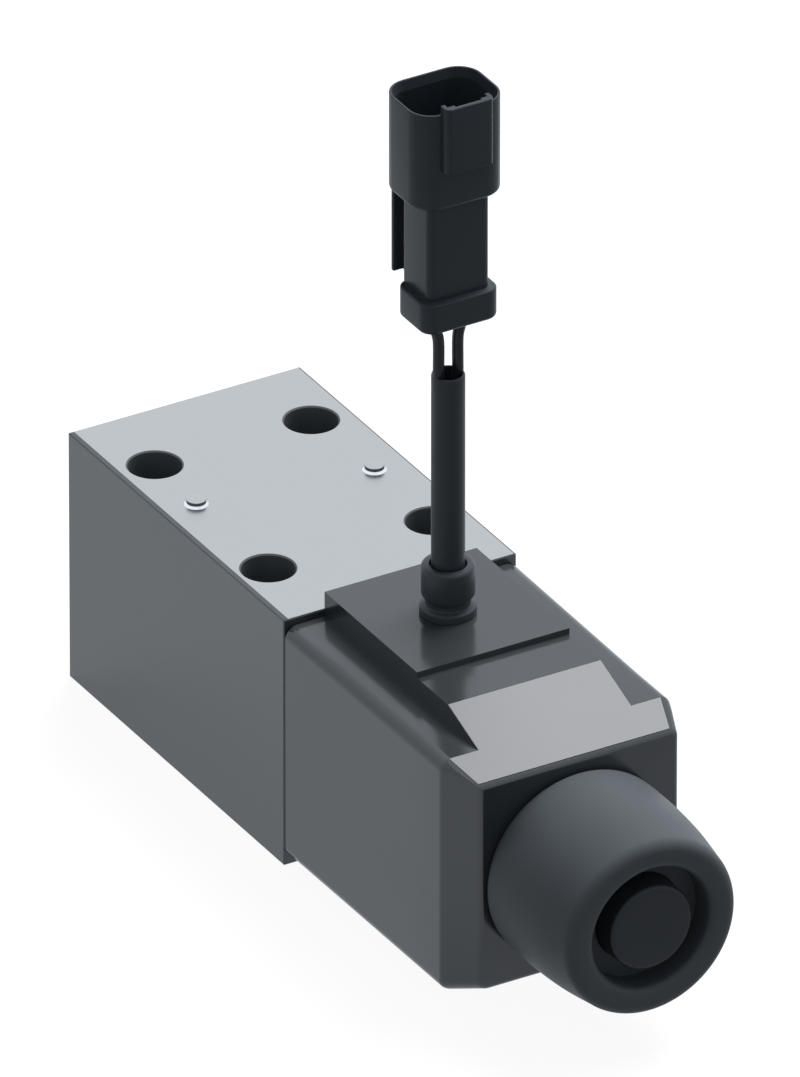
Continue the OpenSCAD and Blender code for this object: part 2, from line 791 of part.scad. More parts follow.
module override_button() {
    color("#33373b") turned([
        [0, button_back_x], [button_rim_r, button_back_x],
        [button_rim_r, ledge_x - 0.3], [button_r, ledge_x - 0.3],
        [button_r, button_face_x - 0.8], [button_r - 0.25, button_face_x - 0.25],
        [button_r - 0.8, button_face_x], [0, button_face_x]
    ]);
}

// Gland and lead

module cable_gland() {
    foot_r = gland_d / 2;
    top_r = foot_r - 0.25;
    color("#2b2f33") translate([gland_x, 0, 0]) difference() {
        rotate_extrude() polygon([
            [0, pad_z - 2.9], [foot_r - 1.6, pad_z - 2.9], [foot_r - 1.6, pad_z],
            [foot_r - 0.2, pad_z], [foot_r, pad_z + 0.2], [foot_r, pad_z + 1.8],
            [foot_r - 0.4, pad_z + 2], [foot_r - 1, pad_z + 2.2], [foot_r - 1, pad_z + 3.8],
            [top_r - 0.1, pad_z + 4.6], [top_r, pad_z + 5], [top_r, gland_top_z - 1.4],
            [top_r - 0.4, gland_top_z - 0.4], [top_r - 1.3, gland_top_z], [0, gland_top_z]
        ]);
        translate([0, 0, jacket_seat_z]) cylinder(h = 20, d = jacket_d + 0.1);
    }
}

module lead_jacket() {
    color("#2b2f33") swept_tube(jacket_route, jacket_d / 2);
}

module lead_cores() {
    color("#222629") for (side = [1, -1])
        swept_tube([for (p = core_route) [p[0], side * p[1], p[2]]], core_d / 2);
}

// Receptacle

module con_plate(z0, z1, depth, w, r, x = con_x) {
    translate([x, 0, z0]) linear_extrude(z1 - z0) round_rect(depth, w, r);
}

// Round-cornered block whose lower edge is bevelled
module con_block(z0, z1, depth, w, r, b, x = con_x) {
    con_plate(z0 + b, z1, depth, w, r, x);
    hull() {
        con_plate(z0, z0 + eps, depth - 2 * b, w - 2 * b, r - b / 2, x);
        con_plate(z0 + b, z0 + b + eps, depth, w, r, x);
    }
}

// Cover over the latch of the mating plug, with two guide ribs and its own cheeks on its
// inner face
module latch_cover() {
    x0 = shell_x + shell_depth / 2;
    top_z = rim_z + cover_rise;
    cheek = 1.1;
    rib = 0.8;
    rib_y = 1.8;
    translate([x0 - eps, -cover_w / 2, top_z - cover_l]) cube([cover_step, cover_w, cover_l]);
    for (side = [-1, 1]) {
        translate([x0 - shell_wall, side * (cover_w - cheek) / 2 - cheek / 2, rim_z - 1])
            cube([shell_wall + 0.5, cheek, cover_rise + 1]);
        translate([x0 - shell_wall, side * (rib_y + rib / 2) - rib / 2, rim_z - 1])
            cube([shell_wall + 0.5, rib, cover_rise + 1]);
    }
}

// Rail for a panel clip on the back of the neck
module clip_rail() {
    x0 = neck_x - neck_depth / 2;
    rail_z = neck_z + 0.3;
    rail_h = neck_h - 0.3 + eps;
    translate([x0 - 2.7, -4.2, rail_z]) cube([2.7 + eps, 8.4, rail_h]);
    translate([x0 - 3.5, -6, rail_z]) cube([0.9, 12, rail_h]);
}

module connector_shell() {
    color("#33373c") difference() {
        union() {
            con_block(flange_z, neck_z, flange_depth, flange_w, 2.5, 0.7);
            con_plate(neck_z - eps, shell_z + 1, neck_depth, neck_w, 1.3, neck_x);
            con_block(shell_z, rim_z, shell_depth, shell_w, shell_r, 0.9, shell_x);
            latch_cover();
            clip_rail();
        }
        con_plate(socket_z, rim_z + 1, shell_depth - 2 * shell_wall, shell_w - 2 * shell_wall,
            shell_r - shell_wall, shell_x);
        con_plate(flange_z - 1, flange_z + seal_gap + seal_h, seal_depth + 0.1, seal_w + 0.1, 1.5);
        for (y = [-1, 1]) translate([con_x, y * contact_pitch / 2, flange_z])
            cylinder(h = socket_z - flange_z + 1, d = contact_d + 0.1);
    }
}

// Rubber seal that the cores enter
module connector_seal() {
    color("#6a6d70") con_plate(
        flange_z + seal_gap, flange_z + seal_gap + seal_h - fit_gap, seal_depth, seal_w, 1.45);
}

// Wedge that locks the contacts in
module connector_wedge() {
    color("#3a3e42") difference() {
        con_plate(socket_z + 0.02, socket_z + wedge_h, 4.4, contact_pitch + 4.2, 0.8);
        for (y = [-1, 1]) translate([con_x, y * contact_pitch / 2, socket_z - 1])
            cylinder(h = wedge_h + 2, d = contact_d + 0.1);
    }
}

module contact_pins() {
    tip = contact_d / 2;
    color("#b8b1a0") for (y = [-1, 1])
        translate([con_x, y * contact_pitch / 2, socket_z - contact_root_l])
            rotate_extrude() polygon([
                [0, 0], [tip, 0], [tip, contact_l - contact_tip_l],
                [tip * 0.8, contact_l - contact_tip_l / 2], [tip * 0.4, contact_l - 0.1],
                [0, contact_l]
            ]);
}

valve_body();
port_seals();
plate_rivets();
end_plug();
end_plug_seal();
return_spring();
spring_seat();
spool();
push_pin();
pole_piece();
pole_seal();
armature_tube();
armature();
tube_end();
override_pin();
override_pin_seal();
coil_housing();
coil_yoke();
rear_flux_plate();
front_flux_plate();
coil_bobbin();
coil_winding();
coil_rear_seal();
coil_front_seal();
coil_nut();
nut_boot();
override_button();
cable_gland();
lead_jacket();
lead_cores();
connector_shell();
connector_seal();
connector_wedge();
contact_pins();
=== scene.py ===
"""Solenoid directional control valve, size 6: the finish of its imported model."""

import math

import bmesh
import bpy
import numpy as np
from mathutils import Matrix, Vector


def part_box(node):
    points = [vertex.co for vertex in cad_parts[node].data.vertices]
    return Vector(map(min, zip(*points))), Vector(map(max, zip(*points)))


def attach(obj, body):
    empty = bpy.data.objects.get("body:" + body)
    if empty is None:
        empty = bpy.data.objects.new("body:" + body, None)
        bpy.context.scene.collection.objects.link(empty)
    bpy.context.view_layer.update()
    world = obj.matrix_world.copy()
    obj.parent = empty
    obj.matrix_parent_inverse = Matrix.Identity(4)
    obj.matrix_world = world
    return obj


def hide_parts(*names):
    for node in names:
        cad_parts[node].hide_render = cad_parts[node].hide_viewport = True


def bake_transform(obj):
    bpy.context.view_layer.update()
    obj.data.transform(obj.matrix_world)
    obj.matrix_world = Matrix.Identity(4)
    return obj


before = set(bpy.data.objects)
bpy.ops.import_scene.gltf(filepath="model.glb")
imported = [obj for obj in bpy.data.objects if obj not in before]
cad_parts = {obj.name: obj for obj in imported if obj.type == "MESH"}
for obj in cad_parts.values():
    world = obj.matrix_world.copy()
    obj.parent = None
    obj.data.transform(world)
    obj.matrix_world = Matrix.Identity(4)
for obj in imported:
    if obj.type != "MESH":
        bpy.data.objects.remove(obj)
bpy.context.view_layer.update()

MM = 0.001

# Camera
# A very long lens from the front right and above, as in a catalogue drawing: 60 degrees round
# and 30 degrees up, so that the sides run almost parallel.
VIEW_AZIMUTH = math.radians(60)
VIEW_ELEVATION = math.radians(30)
VIEW_CENTRE = np.array([36.85, 0.19, 57.84]) * MM
FRAME_HEIGHT = 183.9 * MM
SENSOR = 36
LENS = 1250


def make_camera():
    """Places the camera on the line from the view's centre, as far off as the lens needs."""
    back = np.array([
        math.sin(VIEW_AZIMUTH) * math.cos(VIEW_ELEVATION),
        -math.cos(VIEW_AZIMUTH) * math.cos(VIEW_ELEVATION),
        math.sin(VIEW_ELEVATION),
    ])
    data = bpy.data.cameras.new("camera")
    data.lens = LENS
    data.sensor_width = SENSOR
    camera = bpy.data.objects.new("camera", data)
    camera.location = VIEW_CENTRE + back * FRAME_HEIGHT * LENS / SENSOR
    camera.rotation_euler = (math.pi / 2 - VIEW_ELEVATION, 0, VIEW_AZIMUTH)
    bpy.context.scene.collection.objects.link(camera)
    bpy.context.scene.camera = camera


make_camera()

# Studio
# White card below and all round, as in a light tent, so that glossy faces mirror white, and one
# large lamp above and behind, to the right, that lights the tops more than the sides.
FLOOR_WIDTH = 6.0
TENT_LIGHT = 0.2
TENT_COOL = "f1f8ff"
FLOOR_SEEN = 0.93
FLOOR_MIRRORED = (0.88, 0.46)
FLOOR_FADE = (0.055, 0.17)
FLOOR_FADE_WAY = (0.8, 0.6, 0)
FLOOR_WHITE = "727272"
KEY_POWER = 34.0
KEY_SIZE = 1.2
KEY_PLACE = (-0.38, 0.8, 1.5)


def linear(code):
    """Linear RGBA of an sRGB hex colour."""
    c = np.array([int(code[i:i + 2], 16) for i in (0, 2, 4)]) / 255
    low = c / 12.92
    high = ((c + 0.055) / 1.055) ** 2.4
    return (*np.where(c <= 0.04045, low, high), 1.0)


def add(tree, kind, inputs=None, **settings):
    """Adds one node to a tree; inputs holds values or sockets by the input's name or number."""
    node = tree.nodes.new(kind)
    for name, value in settings.items():
        setattr(node, name, value)
    for name, value in (inputs or {}).items():
        if isinstance(value, bpy.types.NodeSocket):
            tree.links.new(value, node.inputs[name])
        else:
            node.inputs[name].default_value = value
    return node


def seen(tree, *rays):
    """Socket that is 1 for rays of the named kinds."""
    path = add(tree, "ShaderNodeLightPath").outputs
    hit, *others = [path[f"Is {ray} Ray"] for ray in rays]
    for other in others:
        hit = add(tree, "ShaderNodeMath", {0: hit, 1: other}, operation="MAXIMUM").outputs[0]
    return hit


def white_to_lens(tree):
    """Colour socket: pure white to the camera and through glass, a cool white to all else."""
    return add(tree, "ShaderNodeMix", {
        0: seen(tree, "Camera", "Transmission"), 6: linear(TENT_COOL), 7: (1, 1, 1, 1)},
        data_type="RGBA").outputs[2]


def make_tent():
    """World: white where it is seen or mirrored, and a softer light where it only lights."""
    world = bpy.data.worlds.new("tent")
    world.use_nodes = True
    tree = world.node_tree
    tree.nodes.clear()
    strength = add(tree, "ShaderNodeMapRange", {
        "Value": seen(tree, "Camera", "Glossy", "Transmission"), "To Min": TENT_LIGHT,
        "To Max": 1.0})
    light = add(tree, "ShaderNodeBackground", {
        "Color": white_to_lens(tree), "Strength": strength.outputs[0]})
    add(tree, "ShaderNodeOutputWorld", {"Surface": light.outputs[0]})
    bpy.context.scene.world = world


def make_floor():
    """White floor that glows where it is seen or mirrored, so that only a soft shadow shows. What
    is mirrored of it fades towards the front right, so that the front of the coil stays dark."""
    mesh = bpy.data.meshes.new("floor")
    h = FLOOR_WIDTH / 2
    mesh.from_pydata([(-h, -h, 0), (h, -h, 0), (h, h, 0), (-h, h, 0)], [], [(0, 1, 2, 3)])
    floor = bpy.data.objects.new("floor", mesh)
    bpy.context.scene.collection.objects.link(floor)
    card = bpy.data.materials.new("white_card")
    card.use_nodes = True
    tree = card.node_tree
    tree.nodes.clear()
    paper = add(tree, "ShaderNodeBsdfDiffuse", {"Color": linear(FLOOR_WHITE)})
    to_lens = add(tree, "ShaderNodeMath", {
        0: seen(tree, "Camera", "Transmission"), 1: FLOOR_SEEN}, operation="MULTIPLY")
    along = add(tree, "ShaderNodeVectorMath", {
        0: add(tree, "ShaderNodeTexCoord").outputs["Object"], 1: FLOOR_FADE_WAY},
        operation="DOT_PRODUCT")
    fade = add(tree, "ShaderNodeMapRange", {
        "Value": along.outputs["Value"], "From Min": FLOOR_FADE[0], "From Max": FLOOR_FADE[1],
        "To Min": FLOOR_MIRRORED[0], "To Max": FLOOR_MIRRORED[1]}, interpolation_type="SMOOTHSTEP")
    strength = add(tree, "ShaderNodeMath", {
        0: seen(tree, "Glossy"), 1: fade.outputs[0], 2: to_lens.outputs[0]},
        operation="MULTIPLY_ADD")
    glow = add(tree, "ShaderNodeEmission", {
        "Color": white_to_lens(tree), "Strength": strength.outputs[0]})
    both = add(tree, "ShaderNodeAddShader", {0: paper.outputs[0], 1: glow.outputs[0]})
    add(tree, "ShaderNodeOutputMaterial", {"Surface": both.outputs[0]})
    mesh.materials.append(card)


def make_lamp(name, place, power, size):
    """Square lamp at a place, turned towards the view's centre. It lights things, but the tent
    hides it from what they mirror, so that no face shows its outline."""
    data = bpy.data.lights.new(name, "AREA")
    data.energy = power
    data.size = size
    lamp = bpy.data.objects.new(name, data)
    lamp.location = place
    lamp.visible_glossy = False
    aim = Vector(VIEW_CENTRE) - Vector(place)
    lamp.rotation_euler = aim.to_track_quat("-Z", "Y").to_euler()
    bpy.context.scene.collection.objects.link(lamp)


make_tent()
make_floor()
make_lamp("key", KEY_PLACE, KEY_POWER, KEY_SIZE)
bpy.context.scene.view_settings.view_transform = "Standard"

# Valve body
# A block of cast iron, dark from its phosphate bath. Its top is milled bright afterwards, up to
# a strip along the left edge, and its bottom is ground to seal; bevels stay dark, and the bore
# walls are painted a lighter grey as painted fill light.
BODY_TOP_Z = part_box("valve_body")[1][2]
IRON_DARK = "3c4044"
IRON_MILLED = "c9c9c7"
# Bore walls: a lighter grey, painted as fill light where the holes would fall into shade
BORE_FILL_LIGHT_GREY = "5c6064"
MILLED_X = (0, 37.04)
MILLED_Y = (0.33, 22.27)
DARK_Z = (BODY_TOP_Z / MM / 2, BODY_TOP_Z / MM / 2 - 0.05)
CAST_GRAIN = 0.4
CUTTER_STEP = 3.2
CLOUD_SIZE = 14
WAVE_PERIOD = 0.314


def new_material(name):
    """Material with an empty tree, and that tree."""
    material = bpy.data.materials.new(name)
    material.use_nodes = True
    material.node_tree.nodes.clear()
    return material, material.node_tree


def give(material, *nodes):
    """Puts a material on CAD nodes, in place of their plain one."""
    for node in nodes:
        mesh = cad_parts[node].data
        mesh.materials.clear()
        mesh.materials.append(material)


def phosphated_iron():
    """Dark fine-grained iron with a satin gloss; the milled top and ground bottom are bare metal
    with the faint overlapping passes of a wide cutter. Each pass is one period of the bands, and
    bands of scale 1 repeat every WAVE_PERIOD metres."""
    material, tree = new_material("phosphated_cast_iron")
    place = add(tree, "ShaderNodeTexCoord").outputs["Object"]
    x, y, z = add(tree, "ShaderNodeSeparateXYZ", {0: place}).outputs
    # Where the metal is bare: within the milled rectangle, but not between top and bottom
    within_x, within_y, between = (
        add(tree, "ShaderNodeMath", {0: axis, 1: centre * MM, 2: reach * MM},
            operation="COMPARE").outputs[0]
        for axis, (centre, reach) in ((x, MILLED_X), (y, MILLED_Y), (z, DARK_Z)))
    middle = add(tree, "ShaderNodeMath", {0: within_x, 1: within_y}, operation="MULTIPLY")
    bare = add(tree, "ShaderNodeMath", {
        0: middle.outputs[0], 1: between}, operation="GREATER_THAN")
    # Cast skin: fine sparkle from the gloss and a slight unevenness from the relief
    grain = add(tree, "ShaderNodeTexNoise", {
        "Vector": place, "Scale": 1 / (CAST_GRAIN * MM), "Detail": 3.0, "Roughness": 0.6})
    skin = add(tree, "ShaderNodeMapRange", {
        "Value": grain.outputs["Fac"], "From Min": 0.3, "From Max": 0.7,
        "To Min": 0.15, "To Max": 0.24})
    relief = add(tree, "ShaderNodeBump", {
        "Height": grain.outputs["Fac"], "Strength": 0.2, "Distance": 0.01 * MM})
    iron = add(tree, "ShaderNodeBsdfPrincipled", {
        "Base Color": linear(IRON_DARK), "Roughness": skin.outputs[0],
        "Specular IOR Level": 0.8, "Normal": relief.outputs[0]})
    # Milled face: broad clouds over the cutter's passes waver the gloss a little
    passes = add(tree, "ShaderNodeTexWave", {
        "Vector": place, "Scale": WAVE_PERIOD / (CUTTER_STEP * MM), "Distortion": 1.5,
        "Detail": 2.0, "Detail Scale": 0.4}, wave_type="BANDS", bands_direction="Y")
    cloud = add(tree, "ShaderNodeTexNoise", {
        "Vector": place, "Scale": 1 / (CLOUD_SIZE * MM), "Detail": 2.0})
    tone = add(tree, "ShaderNodeMix", {
        0: 0.75, 2: passes.outputs["Fac"], 3: cloud.outputs["Fac"]}, data_type="FLOAT")
    gloss = add(tree, "ShaderNodeMapRange", {
        "Value": tone.outputs[0], "From Min": 0.2, "From Max": 0.8,
        "To Min": 0.29, "To Max": 0.31})
    metal = add(tree, "ShaderNodeBsdfPrincipled", {
        "Base Color": linear(IRON_MILLED), "Metallic": 1.0, "Roughness": gloss.outputs[0]})
    # Drilled and counterbored walls: rougher, and painted a lighter grey than the iron as painted
    # fill light, so that the holes show grey inside
    bore_fill = add(tree, "ShaderNodeBsdfPrincipled", {
        "Base Color": linear(BORE_FILL_LIGHT_GREY), "Roughness": 0.55, "Specular IOR Level": 0.8})
    in_bore = add(tree, "ShaderNodeMath", {0: middle.outputs[0], 1: between}, operation="MULTIPLY")
    dark = add(tree, "ShaderNodeMixShader", {
        0: in_bore.outputs[0], 1: iron.outputs[0], 2: bore_fill.outputs[0]})
    both = add(tree, "ShaderNodeMixShader", {
        0: bare.outputs[0], 1: dark.outputs[0], 2: metal.outputs[0]})
    add(tree, "ShaderNodeOutputMaterial", {"Surface": both.outputs[0]})
    return material


give(phosphated_iron(), "valve_body")

# Seals
# Moulded rings of black nitrile rubber, pressed into their grooves: four under the ports, and
# those of the plug, the tube, the pin and the coil. Oiled rubber has a soft dark gloss.
RUBBER = "17181a"
SWIRL_SIZE = 12


def moulded(name, colour, rough, grain, depth, level=0.5, ior=1.5):
    """Moulded polymer: one through-dyed colour, a roughness that wavers a little, and the fine
    grain that the eroded mould leaves, with its size and depth in mm. A level under 0.5 stands
    for a skin too fine and matt to mirror much, and one over it for a hard, glossy one."""
    material, tree = new_material(name)
    place = add(tree, "ShaderNodeTexCoord").outputs["Object"]
    fine = add(tree, "ShaderNodeTexNoise", {
        "Vector": place, "Scale": 1 / (grain * MM), "Detail": 3.0, "Roughness": 0.55})
    broad = add(tree, "ShaderNodeTexNoise", {
        "Vector": place, "Scale": 1 / (SWIRL_SIZE * MM), "Detail": 2.0})
    both = add(tree, "ShaderNodeMix", {
        0: 0.5, 2: fine.outputs["Fac"], 3: broad.outputs["Fac"]}, data_type="FLOAT")
    gloss = add(tree, "ShaderNodeMapRange", {
        "Value": both.outputs[0], "From Min": 0.35, "From Max": 0.65,
        "To Min": rough - 0.03, "To Max": rough + 0.03})
    relief = add(tree, "ShaderNodeBump", {
        "Height": fine.outputs["Fac"], "Strength": 0.3, "Distance": depth * MM})
    shader = add(tree, "ShaderNodeBsdfPrincipled", {
        "Base Color": linear(colour), "Roughness": gloss.outputs[0], "IOR": ior,
        "Specular IOR Level": level, "Normal": relief.outputs[0]})
    add(tree, "ShaderNodeOutputMaterial", {"Surface": shader.outputs[0]})
    return material


give(moulded("nitrile_rubber_moulded", RUBBER, rough=0.42, grain=0.3, depth=0.004, ior=1.52),
     "port_seals", "end_plug_seal", "pole_seal", "override_pin_seal",
     "coil_rear_seal", "coil_front_seal")

# Plug and other turned steel
# Bar steel turned on a lathe: zinc-plated where it is outside or screwed, ground bright where it
# slides. The turning leaves fine rings round the axis that it was turned on.
ZINC = "c3c8cc"
GROUND_STEEL = "b9bdc0"
SOFT_IRON = "7d8184"
TURNING_STEP = 0.25
HAZE_SIZE = 3


def turned_metal(name, colour, low, high, axis):
    """Metal whose roughness runs in fine rings: bands of the distance along the turning axis,
    blurred by a noise, as the tool's feed leaves them."""
    material, tree = new_material(name)
    place = add(tree, "ShaderNodeTexCoord").outputs["Object"]
    rings = add(tree, "ShaderNodeTexWave", {
        "Vector": place, "Scale": WAVE_PERIOD / (TURNING_STEP * MM), "Distortion": 2.0,
        "Detail": 1.0}, wave_type="BANDS", bands_direction=axis)
    haze = add(tree, "ShaderNodeTexNoise", {
        "Vector": place, "Scale": 1 / (HAZE_SIZE * MM), "Detail": 3.0})
    both = add(tree, "ShaderNodeMix", {
        0: 0.5, 2: rings.outputs["Fac"], 3: haze.outputs["Fac"]}, data_type="FLOAT")
    gloss = add(tree, "ShaderNodeMapRange", {
        "Value": both.outputs[0], "From Min": 0.2, "From Max": 0.8,
        "To Min": low, "To Max": high})
    relief = add(tree, "ShaderNodeBump", {
        "Height": rings.outputs["Fac"], "Strength": 0.1, "Distance": 0.002 * MM})
    shader = add(tree, "ShaderNodeBsdfPrincipled", {
        "Base Color": linear(colour), "Metallic": 1.0, "Roughness": gloss.outputs[0],
        "Normal": relief.outputs[0]})
    add(tree, "ShaderNodeOutputMaterial", {"Surface": shader.outputs[0]})
    return material


give(turned_metal("zinc_plated_steel_turned", ZINC, 0.22, 0.34, "X"),
     "end_plug", "tube_end", "coil_nut", "armature_tube")
give(turned_metal("hardened_steel_ground", GROUND_STEEL, 0.12, 0.2, "X"),
     "spool", "push_pin", "override_pin", "spring_seat", "return_spring")
give(turned_metal("soft_iron_turned", SOFT_IRON, 0.3, 0.42, "X"),
     "pole_piece", "armature", "coil_yoke", "rear_flux_plate", "front_flux_plate")

# Winding
# Enamelled copper wire wound in layers on a bobbin of glass-filled nylon. The housing is moulded
# over both, so that neither shows.
COPPER = "a8623a"
NYLON_DARK = "24272a"

give(moulded("glass_filled_nylon_bobbin", NYLON_DARK, rough=0.35, grain=0.5, depth=0.006),
     "coil_bobbin")
give(turned_metal("enamelled_copper_wound", COPPER, 0.25, 0.4, "X"), "coil_winding")

# Coil housing
# Thermoset moulded round the winding in one shot: near black, smooth and glossy enough to mirror
# the gland and the boot. Its long edges are round and its front corners are cut back, and a
# raised band with a pad for the gland runs along its top.
AXIS_Z = 24.5
COIL_BLACK = "43474a"
COIL_BACK_X = 37.4
COIL_FRONT_X = 97.0
COIL_BOTTOM_Z = 1.9
SHOULDER_Z = 47.2
BAND_Z = 50.9
PAD_TOP_Z = 52.0
PAD_END_X = 68.95
SLOPE_X = 79.4
SLOPE = math.radians(19.9)
NOSE_ROUND = 1.2
COIL_HALF = 23.0
COIL_TAPER = 0.4
BAND_HALF = 15.0
CORNER_LENGTH = 7.05
CORNER_LEFT = math.radians(28.95)
CORNER_RIGHT = math.radians(20)
CORNER_STATIONS = (89.45, 89.65, 89.8, 89.95, 90.2, 90.45, 90.8, 91.3, 92, 93, 94.4, 95.6)
EDGE_ROUND = 2.2
RIGHT_EDGE = ((88, 92), (EDGE_ROUND, 1.5))
REAR_BEVEL = 0.4
COIL_BORE_R = 9.6
ROUND_STEPS = 144
SHARP_ANGLE = math.radians(15)


def make_piece(name, grids):
    """Object from grids of points in mm, each rows x columns x 3, whose columns wrap round;
    rows that shrink to a point close the ends. Doubles are merged and faces turned outwards."""
    points, faces, start = [], [], 0
    for grid in grids:
        rows, cols = grid.shape[:2]
        r, c = (a.ravel() for a in np.meshgrid(
            np.arange(rows - 1), np.arange(cols), indexing="ij"))
        d = (c + 1) % cols
        faces.append(start + np.stack(
            [r * cols + c, r * cols + d, (r + 1) * cols + d, (r + 1) * cols + c], axis=1))
        points.append(grid.reshape(-1, 3) * MM)
        start += rows * cols
    mesh = bpy.data.meshes.new(name)
    mesh.from_pydata(np.concatenate(points).tolist(), [], np.concatenate(faces).tolist())
    work = bmesh.new()
    work.from_mesh(mesh)
    bmesh.ops.remove_doubles(work, verts=work.verts, dist=1e-6)
    bmesh.ops.recalc_face_normals(work, faces=work.faces)
    work.to_mesh(mesh)
    work.free()
    piece = bpy.data.objects.new(name, mesh)
    bpy.context.scene.collection.objects.link(piece)
    return piece


def finish(piece, material, body, slot, *nodes):
    """Smooth shading up to the sharp edges, the material, and what the piece stands for. A piece
    that bends between two bodies rides on none. The slot is not used."""
    piece.data.polygons.foreach_set("use_smooth", [True] * len(piece.data.polygons))
    piece.data.set_sharp_from_angle(angle=SHARP_ANGLE)
    piece.data.materials.append(material)
    if body:
        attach(piece, body)
    if nodes:
        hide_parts(*nodes)


def soften(piece, width):
    """Narrow bevel on every sharp edge, in mm, as a mould leaves it."""
    bevel = piece.modifiers.new("edge", "BEVEL")
    bevel.width = width * MM
    bevel.segments = 2
    bevel.limit_method = "ANGLE"
    bevel.angle_limit = SHARP_ANGLE
    bevel.harden_normals = True


def capped(grid):
    """The grid with a row at each end that shrinks to its middle, which closes the piece."""
    first, last = (np.repeat(row.mean(axis=0)[None, None], grid.shape[1], axis=1)
                   for row in (grid[0], grid[-1]))
    return np.concatenate([first, grid, last])


def revolved(profile, axis="X", centre=(0, AXIS_Z)):
    """Profile of (distance along the axis, radius) turned round an axis through centre: each
    row of the grid is one circle."""
    along, radius = np.array(profile, float).T[:, :, None]
    t = np.linspace(0, 2 * np.pi, ROUND_STEPS, endpoint=False)[None]
    first = centre[0] + radius * np.cos(t)
    second = centre[1] + radius * np.sin(t)
    along = along + 0 * t
    order = (along, first, second) if axis == "X" else (first, second, along)
    return np.stack(order, axis=-1)


def bored(piece, radius):
    """Cuts a round bore through the piece along X, where the coil slips over its tube. The cut
    also makes one skin of the block and the band that stands in it."""
    low, high = COIL_BACK_X - 1, COIL_FRONT_X + 1
    drill = make_piece("drill", [revolved([(low, 0), (low, radius), (high, radius), (high, 0)])])
    cut = piece.modifiers.new("bore", "BOOLEAN")
    cut.object = drill
    cut.use_self = True
    whole = piece.evaluated_get(bpy.context.evaluated_depsgraph_get())
    mesh = bpy.data.meshes.new_from_object(whole)
    piece.modifiers.clear()
    piece.data = mesh
    bpy.data.objects.remove(drill)


def slope_z(x):
    """Height of the sloping facet's plane at a station along X."""
    return BAND_Z - (x - SLOPE_X) * math.tan(SLOPE)


def set_in(x, start, width=0.5):
    """How far stations x lie past a start, with a soft bend in place of the kink there."""
    past = x - start
    bend = (np.clip(past, -width, width) + width) ** 2 / (4 * width)
    return np.where(past > width, past, bend)


def nosed(x, line, angle):
    """A line that falls at an angle, up to the arc that turns it into the front face."""
    centre = COIL_FRONT_X - NOSE_ROUND
    past = np.clip(x - centre, 0, NOSE_ROUND)
    turned = line(centre) - NOSE_ROUND / math.cos(angle) + np.sqrt(NOSE_ROUND ** 2 - past ** 2)
    return np.where(x > centre + NOSE_ROUND * math.sin(angle), turned, line(x))


def flank(half, low, top, edge=None):
    """One side's columns of the coil's section: half a foot round, the side, and a round
    shoulder edge, whose arc ends where the facet or the nose cuts it off, or follows them down
    where edge gives its radius at each station."""
    r = EDGE_ROUND
    share = np.linspace(0, 1, 10)
    down = share * np.pi / 2
    foot = low[:, None] + r * (1 - np.cos(down))
    foot_y = half[:, None] - r * (1 - np.sin(down))
    if edge is None:
        up = np.arcsin(np.clip((top - SHOULDER_Z + r) / r, 0, 1))[:, None] * share
        shoulder = np.minimum(SHOULDER_Z - r, top)[:, None] + r * np.sin(up)
        shoulder_y = half[:, None] - r * (1 - np.cos(up))
    else:
        shoulder = (top - edge)[:, None] + edge[:, None] * np.sin(down)
        shoulder_y = half[:, None] - edge[:, None] * (1 - np.cos(down))
    y = np.concatenate([foot_y, shoulder_y], axis=1)
    return y, np.concatenate([foot, shoulder], axis=1)


def coil_block():
    """Rows are stations along X, columns one section, up the right side and down the left. Top,
    sides and underside all turn into the front face along one arc's radius."""
    corner_x = COIL_FRONT_X - CORNER_LENGTH
    nose = COIL_FRONT_X - NOSE_ROUND * (1 - np.sin(np.linspace(SLOPE, np.pi / 2, 9)))
    taper_x = COIL_BACK_X + REAR_BEVEL
    x = np.concatenate([[COIL_BACK_X, taper_x, 52, 66, 80], CORNER_STATIONS, nose])

    def half(angle):
        """Half width of one side at every station."""
        def side(s):
            """Tapers evenly, and falls in at the angle along the front corner."""
            taper = COIL_TAPER * np.clip((s - taper_x) / (corner_x - taper_x), 0, 1)
            return COIL_HALF - taper - set_in(s, corner_x) * math.tan(angle)

        out = nosed(x, side, angle)
        out[0] -= REAR_BEVEL
        return out

    def foot(s):
        """Underside, upside down: level, and falling with the facet's slope along the corner."""
        return -COIL_BOTTOM_Z - set_in(s, corner_x) * math.tan(SLOPE)

    top = np.minimum(SHOULDER_Z, nosed(x, slope_z, SLOPE))
    low = -nosed(x, foot, SLOPE)
    right, right_z = flank(half(CORNER_RIGHT), low, top, np.interp(x, *RIGHT_EDGE))
    left, left_z = flank(half(CORNER_LEFT), low, top)
    y = np.concatenate([right, -left[:, ::-1]], axis=1)
    z = np.concatenate([right_z, left_z[:, ::-1]], axis=1)
    return capped(np.stack([x[:, None] + 0 * y, y, z], axis=-1))


def coil_band():
    """Band and pad in one: a four-cornered section whose top steps down at the pad's end and
    then falls along the facet, to where the facet meets the shoulders."""
    end = SLOPE_X + (BAND_Z - SHOULDER_Z) / math.tan(SLOPE)
    x = np.array([COIL_BACK_X, PAD_END_X, PAD_END_X, SLOPE_X, end])
    top = np.array([PAD_TOP_Z, PAD_TOP_Z, BAND_Z, BAND_Z, SHOULDER_Z])
    y = BAND_HALF * np.array([-1, -1, 1, 1]) + 0 * x[:, None]
    z = np.stack([0 * x + AXIS_Z, top, top, 0 * x + AXIS_Z], axis=1)
    return capped(np.stack([x[:, None] + 0 * y, y, z], axis=-1))


coil = make_piece("coil_moulding", [coil_block(), coil_band()])
bored(coil, COIL_BORE_R)
finish(coil, moulded("thermoset_moulded_black", COIL_BLACK, rough=0.16, grain=0.6, depth=0.003,
                     level=0.66),
       "valve", "coil_plastic", "coil_housing")
soften(coil, 0.08)
